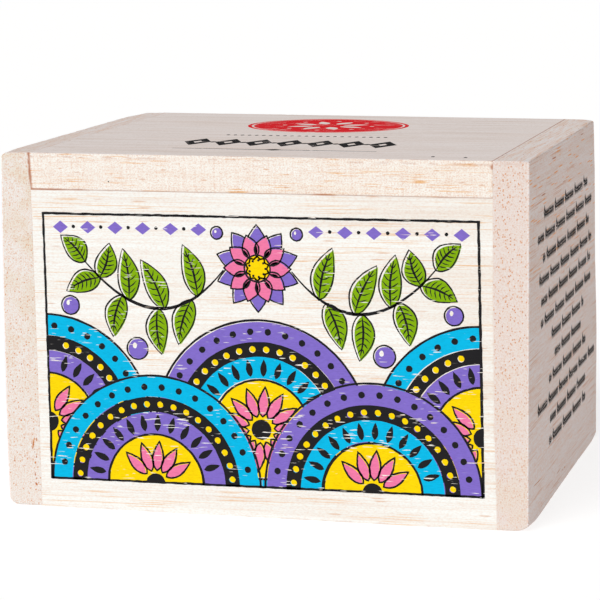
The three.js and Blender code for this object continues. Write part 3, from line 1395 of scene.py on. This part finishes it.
def fan_trim(printed, centre, coloured, black_level):
    """The small marks on a fan: dots and drops on its rings, and petals in its sun."""
    for point, _ in fan_row(centre, BLACK_DOTS):
        if inside_panel(LARGE_MARGIN, point):
            printed.black([disc(point, FAN_DOT, 14)], black_level)
    for point, angle in fan_row(centre, DROPS):
        if inside_panel(SMALL_MARGIN, point, ahead(point, DROP[0], angle)):
            printed.black([leaf(point, angle, *DROP, points=8)], black_level)
    for point, angle in fan_row(centre, PETALS):
        if inside_panel(LARGE_MARGIN, point, ahead(point, PETAL[0], angle)):
            petal = leaf(point, angle, *PETAL)
            inner = leaf(ahead(point, PETAL_START, angle), angle, *PETAL_COLOUR)
            printed.outlined("pink", petal, inner, coloured + PETAL_LIFT, black_level)
    middle = clipped(disc(centre, FAN_DISC, 24), PANEL_LOW, PANEL_HIGH)
    printed.black([middle], black_level + ON_BLACK)


def fans(printed):
    """Two rows of overlapping fans along the bottom of the panel."""
    width = PANEL_HIGH[0] - PANEL_LOW[0]
    for share, rise, angles, names, (coloured, black_level) in FANS:
        centre = (PANEL_LOW[0] + width * share, PANEL_LOW[1] + rise)
        fan(printed, centre, angles, names, coloured, black_level)
        fan_trim(printed, centre, coloured, black_level + ON_BLACK)


# The width of the black outlines of leaves and berries.
OUTLINE = 0.3
# A leaf's lines: the widths of its midrib and of its side veins, how far along the leaf a vein's middle
# and its tip lie from its root, and how much of the leaf's half width it crosses.
RIB_LINE, VEIN_LINE = 0.42, 0.26
VEIN_MIDDLE, VEIN_TIP, VEIN_REACH = 0.04, 0.11, 0.78


def veined_leaf(printed, root, angle, reach, width, bend):
    """A green leaf with a black outline, a midrib and side veins."""
    grown = 2 * OUTLINE
    outer = leaf(ahead(root, -OUTLINE, angle), angle, reach + grown, width + grown, bend)
    inner = leaf(root, angle, reach, width, bend)
    printed.outlined("green", outer, inner, REAR_COLOUR, REAR_BLACK)
    rib = [leaf_point(root, angle, reach, bend, s / 10, 0) for s in range(10)]
    printed.black([stroke(rib, RIB_LINE)], REAR_BLACK + ON_BLACK)
    for i in range(1, 7):
        share = i / 8
        for side in (-1, 1):
            tip_share = share + VEIN_TIP
            tip = leaf_half_width(tip_share, width) * VEIN_REACH * side
            start = leaf_point(root, angle, reach, bend, share, 0)
            middle = leaf_point(root, angle, reach, bend, share + VEIN_MIDDLE, tip / 2)
            end = leaf_point(root, angle, reach, bend, tip_share, tip)
            printed.black([stroke([start, middle, end], VEIN_LINE)], REAR_BLACK + ON_BLACK)


# The highlight on a berry, as shares of its radius: how far aside and up it lies, and its half sizes.
SHINE_PLACE, SHINE_WIDTH, SHINE_HEIGHT = 0.35, 0.22, 0.3


def berry(printed, centre, radius):
    """A round violet berry with a black outline and a bare highlight."""
    outer, inner = disc(centre, radius + OUTLINE, 28), disc(centre, radius, 28)
    aside = radius * SHINE_PLACE
    half = (radius * SHINE_WIDTH, radius * SHINE_HEIGHT)
    shine = oval(centre[0] - aside, centre[1] + aside, *half, 10)
    printed.fill("violet", [inner, shine], REAR_COLOUR)
    printed.black([outer, inner], REAR_BLACK)


# The flower: its height over the panel's foot, its radius, and the number of its petals.
FLOWER_UP, FLOWER_RADIUS, FLOWER_PETALS = 40.9, 8.2, 10
# Its two rings of petals: how far each is turned, in steps from petal to petal, its colour, how far out
# its petals reach and how wide they are, as shares of the radius, and how much higher it is printed.
FLOWER_RINGS = ((0.5, "violet", 1.0, 0.5, 0.0), (0.0, "pink", 0.8, 0.42, 0.008))
# As shares of the radius: where the petals start, the disc in the middle, and the ring of dots on it.
PETAL_ROOT, FLOWER_DISC, FLOWER_DOTS = 0.2, 0.32, 0.19
# How far a petal's colour starts from its root, how much shorter and narrower than its outline it is,
# the width of the disc's outline, and the radius of a dot.
COLOUR_START, COLOUR_SHORTER, COLOUR_NARROWER = 0.35, 0.75, 0.62
DISC_OUTLINE, FLOWER_DOT = 0.32, 0.24


def flower(printed):
    """A round flower: violet petals behind pink ones, and a yellow disc with a ring of dots."""
    centre = (PANEL_MIDDLE, PANEL_LOW[1] + FLOWER_UP)
    turn = FULL_TURN / FLOWER_PETALS
    for start, name, reach, width, lift in FLOWER_RINGS:
        size, across = (reach - PETAL_ROOT) * FLOWER_RADIUS, width * FLOWER_RADIUS
        for point, angle in around(centre, FLOWER_RADIUS * PETAL_ROOT, FLOWER_PETALS, start * turn):
            outer = leaf(point, angle, size, across)
            root = ahead(point, COLOUR_START, angle)
            inner = leaf(root, angle, size - COLOUR_SHORTER, across - COLOUR_NARROWER)
            printed.outlined(name, outer, inner, REAR_COLOUR + lift, REAR_BLACK + lift)
    radius = FLOWER_RADIUS * FLOWER_DISC
    outer, inner = disc(centre, radius, 32), disc(centre, radius - DISC_OUTLINE, 32)
    printed.outlined("yellow", outer, inner, NEAR_COLOUR, NEAR_BLACK)
    for point, _ in around(centre, FLOWER_RADIUS * FLOWER_DOTS, 9):
        printed.black([disc(point, FLOWER_DOT, 10)], NEAR_BLACK + ON_BLACK)


# The stem of half the garland: the three points that steer its curve, from the panel's middle and
# foot, the number of its steps, and its width.
STEM, STEM_STEPS, STEM_LINE = ((6.5, 40.5), (19, 25), (33.5, 41.5)), 20, 0.62
# Its leaves: their width and their bend, then where on the stem each grows, which way it points, and
# its length.
LEAF_WIDTH, LEAF_BEND = 3.9, 0.5
GARLAND_LEAVES = (
    (0.2, 74, 9.6),
    (0.25, -72, 8.6),
    (0.45, 64, 9.8),
    (0.5, -94, 8.4),
    (0.7, 84, 9.4),
    (0.75, -76, 7.8),
    (0.9, 108, 6.6),
    (0.9, -22, 7.0),
    (1.0, 46, 6.4),
)
# Its berries: where each is, and its radius.
GARLAND_BERRIES = ((23.6, 25.4, 1.9), (36.6, 33.2, 1.6), (7.6, 47.3, 1.0))


def garland(printed, side):
    """Half of the leafy garland over the fans. side is -1 for the left and 1 for the right."""

    def at(across, up):
        return (PANEL_MIDDLE + side * across, PANEL_LOW[1] + up)

    stem = curve_points(*[at(*point) for point in STEM], STEM_STEPS)
    printed.black([stroke(stem, STEM_LINE)], REAR_BLACK)
    for share, lean, reach in GARLAND_LEAVES:
        angle = math.radians(lean if side > 0 else 180 - lean)
        root = stem[round(share * STEM_STEPS)]
        veined_leaf(printed, root, angle, reach, LEAF_WIDTH, LEAF_BEND * side)
    for across, up, radius in GARLAND_BERRIES:
        berry(printed, at(across, up), radius)


# The row of lozenges: how far it is under the top of the frame, where it starts from the panel's
# middle, the step from one to the next, and how many there are on each side.
ROW_DOWN, ROW_START, ROW_STEP, ROW_COUNT = 2.6, 11.2, 5.4, 6
# A lozenge's half sizes, and the radius of the dots between them.
ROW_LOZENGE, ROW_DOT = (1.5, 1.15), 0.34


def lozenge_row(printed):
    """Violet lozenges and black dots under the top of the frame, on both sides of the flower."""
    height = PANEL_HIGH[1] - ROW_DOWN
    for side in (-1, 1):
        for i in range(ROW_COUNT):
            across = PANEL_MIDDLE + side * (ROW_START + ROW_STEP * i)
            printed.fill("violet", [lozenge(across, height, *ROW_LOZENGE)], REAR_COLOUR)
            if i:
                dot = disc((across - side * ROW_STEP / 2, height), ROW_DOT, 12)
                printed.black([dot], REAR_BLACK)


def print_front():
    """The whole front print."""
    printed = FrontPrint()
    panel_frame(printed)
    fans(printed)
    for side in (-1, 1):
        garland(printed, side)
    flower(printed)
    lozenge_row(printed)
    printed.finish()


# ---------------------------------------------------------------------------------------------
# Lid and side prints


# The lid's oval: its middle, its half sizes, and the shares of them between which its ring and its field
# lie.
OVAL_CENTRE, OVAL_HALF, OVAL_SHARES = (-1.6, 59), (16.6, 14), (1.0, 0.955, 0.925)
# The bare petals and dots in it: the radius and the count of each ring, and the sizes.
ROSETTE, ROSETTE_PETAL = (3.0, 8, FULL_TURN / 16), (5.6, 2.4)
ROSETTE_DOTS, ROSETTE_DOT = (9.2, 8), 0.55
# The band of lozenges: how deep it lies, where it starts, its step and its count, then the half sizes of
# a lozenge, of the hole in it, and of a dot.
BAND_DEEP, BAND_START, BAND_STEP, BAND_COUNT = 24, -18.6, 6.1, 7
BAND_LOZENGE, BAND_HOLE, BAND_DOT = (2.7, 6.0), (0.9, 2.0), (0.55, 0.9)
# The row of dots, told the same way.
DOTS_DEEP, DOTS_START, DOTS_STEP, DOTS_COUNT = 37.6, -16.5, 1.45, 23
ROW_OVAL = (0.36, 0.6)
# The rule: its ends, its middle, how deep it lies, its width, and the half sizes of its lozenge.
RULE_START, RULE_MIDDLE, RULE_END, RULE_DEEP = -19.9, -0.1, 19.6, 12
RULE_LINE, RULE_LOZENGE = 0.5, (2.2, 1.1)
# The two dots near the right front corner, and their half sizes.
CORNER_DOTS, CORNER_DOT = ((31.7, 5.2), (37.8, 4.7)), (0.35, 0.6)
# The dark speck in the lid's front edge: where it is, and its half sizes.
SPECK = (-28.6, 62.5, 0.13, 0.17)


def print_lid():
    """A red oval with a bare ring and a bare rosette, and black bands of ornament before it."""
    settings = bpy.context.scene.tea_box
    woods = settings.woods
    bare = (woods.lid_top, woods.lid_top_warm)
    red_ink = ink("screen_ink_red", settings.inks.red, bare, LID_TOP)
    black_ink = ink("screen_ink_lid_black", settings.inks.black, bare, LID_TOP)
    red = Print("lid_print_red", on_lid, red_ink, "lid", "lid_wood")
    black = Print("lid_print_black", on_lid, black_ink, "lid", "lid_wood")
    outlines = [oval(*OVAL_CENTRE, *(half * share for half in OVAL_HALF), 72) for share in OVAL_SHARES]
    red.film(outlines[:2])
    petals = [leaf(point, angle, *ROSETTE_PETAL) for point, angle in around(OVAL_CENTRE, *ROSETTE)]
    dots = [disc(point, ROSETTE_DOT, 12) for point, _ in around(OVAL_CENTRE, *ROSETTE_DOTS)]
    red.film([outlines[2], *petals, *dots])
    red.finish()

    for i in range(BAND_COUNT):
        across = BAND_START + BAND_STEP * i
        black.film([lozenge(across, BAND_DEEP, *half) for half in (BAND_LOZENGE, BAND_HOLE)])
        if i:
            black.film([oval(across - BAND_STEP / 2, BAND_DEEP, *BAND_DOT, 14)])
    for i in range(DOTS_COUNT):
        black.film([oval(DOTS_START + DOTS_STEP * i, DOTS_DEEP, *ROW_OVAL, 10)])
    rule = [(across, RULE_DEEP) for across in (RULE_START, RULE_MIDDLE, RULE_END)]
    black.film([stroke(curve_points(*rule, 24), RULE_LINE)])
    black.film([lozenge(RULE_MIDDLE, RULE_DEEP, *RULE_LOZENGE)], FILM_HEIGHT + 2 * ON_BLACK)
    for place in CORNER_DOTS:
        black.film([oval(*place, *CORNER_DOT, 10)])
    black.finish()
    speck = Print("lid_edge_speck", on_front, black_ink, "lid", "lid_wood")
    speck.film([oval(*SPECK, 8)])
    speck.finish()


# Rows of the side ornament, from the top: where each starts and ends from the front edge.
SIDE_ROWS = (
    (15.9, 69.9),
    (9.2, 75.9),
    (14.8, 71.9),
    (11.0, 75.6),
    (13.1, 73.9),
    (12.8, 73.8),
    (24.9, 64.2),
    (28.6, 60.6),
    (22.2, 66.6),
    (9.7, 78.0),
    (23.5, 66.5),
    (22.5, 66.7),
)
SIDE_TOP_ROW, SIDE_ROW_GAP = 55.9, 4.0
# The length of one stitch, the half heights of a short and a tall one, its half width as a share of its
# length, and the hole in it: its half width as such a share, and its height as a share of the stitch's.
SIDE_STITCH, SHORT_STITCH, TALL_STITCH = 1.35, 0.94, 1.35
STITCH_HALF, STITCH_HOLE, HOLE_HEIGHT = 0.68, 0.2, 0.3
# Of so many stitches the first is tall and the last is left out, and each row starts so much further on.
STITCH_CYCLE, CYCLE_SHIFT = 9, 3


def print_side():
    """Twelve centred rows of small ornament on the right side: chains of lozenges, with taller ones
    and gaps between them."""
    settings = bpy.context.scene.tea_box
    bare = (settings.woods.side, settings.woods.side_warm)
    material = ink("screen_ink_side", settings.inks.side_black, bare, SIDE)
    black = Print("side_print_black", on_right, material, "box", "end_board_wood")
    for number, (start, end) in enumerate(SIDE_ROWS):
        up = SIDE_TOP_ROW - SIDE_ROW_GAP * number
        count = round((end - start) / SIDE_STITCH)
        for i in range(count):
            across = start + (end - start) * (i + 0.5) / count
            place = (i + CYCLE_SHIFT * number) % STITCH_CYCLE
            if place == STITCH_CYCLE - 1 and 1 < i < count - 2:
                continue
            height = SHORT_STITCH if place else TALL_STITCH
            middle = up + height - SHORT_STITCH
            outer = lozenge(across, middle, SIDE_STITCH * STITCH_HALF, height)
            hole = lozenge(across, middle, SIDE_STITCH * STITCH_HOLE, height * HOLE_HEIGHT)
            black.film([outer, hole])
    black.finish()


# Marks of dried gum on the end boards: where each is, its length and width, and how it leans. The
# left board's are in its end grain, the right board's on its outer face.
LEFT_MARKS = (
    (-44.98, 12.2, 2.7, 0.34, 80),
    (-44.3, 12.9, 0.7, 0.22, 90),
    (-44.43, 9.55, 0.5, 0.2, 90),
    (-44.67, 8.41, 0.5, 0.34, 80),
    (-44.8, 6.18, 0.75, 0.24, 95),
    (-44.58, 5.29, 0.4, 0.26, 90),
    (-44.62, 4.23, 0.75, 0.42, 115),
    (-44.75, 3.11, 0.4, 0.28, 90),
    (-47.31, 16.5, 0.42, 0.32, 90),
    (-48.9, 8.6, 0.4, 0.26, 100),
    (-46.9, 27.4, 0.4, 0.26, 60),
)
RIGHT_MARKS = (
    (41.15, 2.59, 1.6, 0.34, 0),
    (38.7, 2.69, 1.2, 0.22, 0),
    (10.5, 6.94, 11, 0.22, -3),
    (34, 3.5, 5, 0.2, 2),
)
# How high dried gum stands over the wood.
GUM_HEIGHT = 0.006


def gum_marks():
    """The few dark gum marks of the end boards, as thin films in the wood's surface."""
    for name, place, marks in (
        ("gum_marks_left", on_front, LEFT_MARKS),
        ("gum_marks_right", on_right, RIGHT_MARKS),
    ):
        printed = Print(name, place, dried_gum(), "box", "end_board_wood")
        for across, up, reach, width, lean in marks:
            angle = math.radians(lean)
            root = ahead((across, up), -reach / 2, angle)
            printed.film([leaf(root, angle, reach, width, points=6)], GUM_HEIGHT)
        printed.finish()


# ---------------------------------------------------------------------------------------------
# Stage


# The camera: the point it aims at, where it stands round that point, and the length of its lens in
# millimetres. Then the side that the soft lamp shines from.
CAMERA_AIM = Vector((-3.153, 0, 34.357)) * MM
CAMERA_AZIMUTH = math.radians(15.107)
CAMERA_ELEVATION = math.radians(9.398)
CAMERA_ROLL = math.radians(-0.73)
CAMERA_DISTANCE = 503.73 * MM
CAMERA_LENS = 151.19
KEY_DIRECTION = Vector((-0.2, -0.72, 0.67))


def make_camera():
    """A long lens, a little above the box and to its right."""
    data = bpy.data.cameras.new("camera")
    data.sensor_width = 36
    data.lens = CAMERA_LENS
    camera = bpy.data.objects.new("camera", data)
    bpy.context.scene.collection.objects.link(camera)
    level = math.cos(CAMERA_ELEVATION)
    back = Vector(
        (math.sin(CAMERA_AZIMUTH) * level, -math.cos(CAMERA_AZIMUTH) * level, math.sin(CAMERA_ELEVATION))
    )
    turn = back.to_track_quat("Z", "Y").to_matrix().to_4x4()
    roll = Matrix.Rotation(CAMERA_ROLL, 4, "Z")
    camera.matrix_world = Matrix.Translation(CAMERA_AIM + back * CAMERA_DISTANCE) @ turn @ roll
    bpy.context.scene.camera = camera


def make_floor():
    """A pale paper floor that glows a little, so that it comes out nearly white."""
    stage = bpy.context.scene.tea_box.stage
    bm = bmesh.new()
    bmesh.ops.create_grid(bm, x_segments=1, y_segments=1, size=6)
    floor = finish_mesh(bm, "floor", [])
    material, tree = new_tree("matt_paper")
    surface = add(
        tree,
        "BsdfPrincipled",
        {
            "Base Color": stage.floor,
            "Roughness": 0.95,
            "Specular IOR Level": 0.1,
            "Emission Color": (1, 1, 1, 1),
            "Emission Strength": stage.floor_glow,
        },
    )
    add(tree, "OutputMaterial", {"Surface": surface.outputs[0]})
    floor.data.materials.append(material)


def make_light():
    """A white room with a dim ceiling, and one large soft lamp at the front left."""
    stage = bpy.context.scene.tea_box.stage
    world = bpy.data.worlds.new("studio")
    world.use_nodes = True
    tree = world.node_tree
    tree.nodes.clear()
    seen = add(tree, "LightPath", {}).outputs["Is Camera Ray"]
    strength = step(tree, seen, 0.0, 1.0, stage.sky, 1.0)
    sky = add(tree, "Background", {"Color": (1, 1, 1, 1), "Strength": strength})
    add(tree, "OutputWorld", {"Surface": sky.outputs[0]})
    bpy.context.scene.world = world
    data = bpy.data.lights.new("key", "SUN")
    data.energy = stage.key
    data.angle = stage.key_spread
    key = bpy.data.objects.new("key", data)
    key.matrix_world = KEY_DIRECTION.to_track_quat("Z", "Y").to_matrix().to_4x4()
    bpy.context.scene.collection.objects.link(key)


# ---------------------------------------------------------------------------------------------
# Operators and panel


class TEABOX_OT_end_boards(bpy.types.Operator):
    """Makes the two end boards, with their grain from front to back"""

    bl_idname = "teabox.end_boards"
    bl_label = "End boards"

    def execute(self, context):
        end_board("end_board_left", -1)
        end_board("end_board_right", 1)
        return {"FINISHED"}


class TEABOX_OT_walls(bpy.types.Operator):
    """Makes the front, back and bottom boards"""

    bl_idname = "teabox.walls"
    bl_label = "Walls and bottom"

    def execute(self, context):
        for seed, name in enumerate(("front_board", "back_board", "bottom_board")):
            wall(name, 1.7 * seed + 0.4)
        return {"FINISHED"}


class TEABOX_OT_lid(bpy.types.Operator):
    """Makes the lid"""

    bl_idname = "teabox.lid"
    bl_label = "Lid"

    def execute(self, context):
        lid_board()
        return {"FINISHED"}


class TEABOX_OT_hinge_pegs(bpy.types.Operator):
    """Makes the two bamboo pegs that the lid swings on"""

    bl_idname = "teabox.hinge_pegs"
    bl_label = "Hinge pegs"

    def execute(self, context):
        hinge_peg("hinge_pin_left")
        hinge_peg("hinge_pin_right")
        return {"FINISHED"}


class TEABOX_OT_front_print(bpy.types.Operator):
    """Prints the fans, the garland and the frame on the front board"""

    bl_idname = "teabox.front_print"
    bl_label = "Front print"

    def execute(self, context):
        print_front()
        return {"FINISHED"}


class TEABOX_OT_lid_print(bpy.types.Operator):
    """Prints the oval and the ornament on the lid"""

    bl_idname = "teabox.lid_print"
    bl_label = "Lid print"

    def execute(self, context):
        print_lid()
        return {"FINISHED"}


class TEABOX_OT_side_print(bpy.types.Operator):
    """Prints the rows of ornament on the right side"""

    bl_idname = "teabox.side_print"
    bl_label = "Side print"

    def execute(self, context):
        print_side()
        return {"FINISHED"}


class TEABOX_OT_gum_marks(bpy.types.Operator):
    """Adds the dark gum marks of the end boards"""

    bl_idname = "teabox.gum_marks"
    bl_label = "Gum marks"

    def execute(self, context):
        gum_marks()
        return {"FINISHED"}


class TEABOX_OT_stage(bpy.types.Operator):
    """Sets up the floor, the light and the camera"""

    bl_idname = "teabox.stage"
    bl_label = "Stage"

    def execute(self, context):
        make_floor()
        make_light()
        make_camera()
        context.scene.view_settings.view_transform = "Standard"
        return {"FINISHED"}


OPERATORS = (
    TEABOX_OT_end_boards,
    TEABOX_OT_walls,
    TEABOX_OT_lid,
    TEABOX_OT_hinge_pegs,
    TEABOX_OT_front_print,
    TEABOX_OT_lid_print,
    TEABOX_OT_side_print,
    TEABOX_OT_gum_marks,
    TEABOX_OT_stage,
)


class TEABOX_PT_panel(bpy.types.Panel):
    """Lists the tea box's settings and its pieces"""

    bl_idname = "TEABOX_PT_panel"
    bl_label = "Tea Box"
    bl_space_type = "VIEW_3D"
    bl_region_type = "UI"
    bl_category = "Tea Box"

    def draw(self, context):
        settings = context.scene.tea_box
        for group in (settings.boards, settings.woods, settings.inks, settings.stage):
            column = self.layout.box().column()
            for name in type(group).__annotations__:
                column.prop(group, name)
        for operator in OPERATORS:
            self.layout.operator(operator.bl_idname)


GROUPS = (TeaBoxBoards, TeaBoxWoods, TeaBoxInks, TeaBoxStage, TeaBoxSettings)


def register():
    """Registers the settings, the operators and the panel."""
    for group in (*GROUPS, *OPERATORS, TEABOX_PT_panel):
        bpy.utils.register_class(group)
    bpy.types.Scene.tea_box = PointerProperty(type=TeaBoxSettings)


def unregister():
    """Takes them away again."""
    del bpy.types.Scene.tea_box
    for group in reversed((*GROUPS, *OPERATORS, TEABOX_PT_panel)):
        bpy.utils.unregister_class(group)


def main():
    """Builds the box."""
    register()
    bpy.ops.teabox.end_boards()
    bpy.ops.teabox.walls()
    bpy.ops.teabox.lid()
    bpy.ops.teabox.hinge_pegs()
    bpy.ops.teabox.front_print()
    bpy.ops.teabox.lid_print()
    bpy.ops.teabox.side_print()
    bpy.ops.teabox.gum_marks()
    bpy.ops.teabox.stage()


if __name__ == "__main__":
    main()
